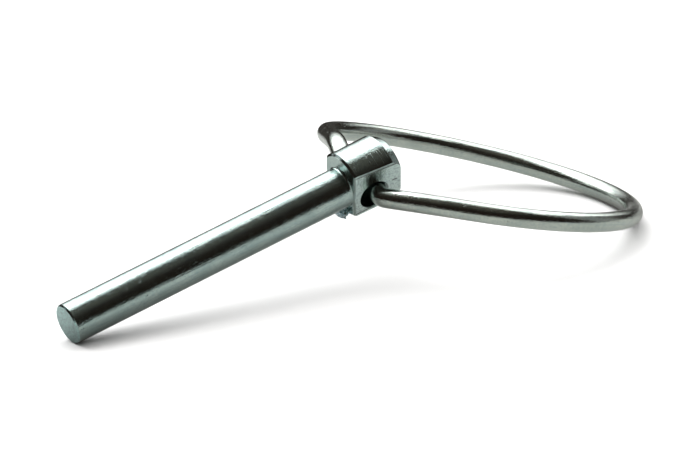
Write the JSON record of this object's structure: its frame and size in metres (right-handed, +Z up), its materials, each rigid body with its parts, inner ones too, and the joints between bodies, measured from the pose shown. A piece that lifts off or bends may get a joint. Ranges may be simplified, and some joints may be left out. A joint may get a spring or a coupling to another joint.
{
  "type": "lynch pin",
  "caption": "Bright zinc-plated lynch pin: round shank with a tiny tip chamfer, flatted turned head and a sprung round wire ring that swings over the tip to lock.",
  "frame": {"origin": "middle of the underside of the box around the pin as it lies", "axes": "+Z up as it lies on its tip and the low side of its ring, the shank's tip towards -X and the ring towards +X"},
  "size_m": [0.1604, 0.0824, 0.0337],
  "materials": {
    "pin_steel": "bright zinc plate with fine turning marks",
    "ring_steel": "bright zinc plate over drawn spring wire"
  },
  "bodies": {
    "pin": {"pin": "pin_steel"},
    "ring": {"ring": "ring_steel"}
  },
  "joints": [
    {"name": "ring_swing", "type": "hinge", "parent": "pin", "child": "ring", "pos_m": [0.00279, -0.00908, 0.02377], "axis": [0.0954, -0.9091, -0.4055], "range_deg": [-142.8, 205.2]}
  ]
}
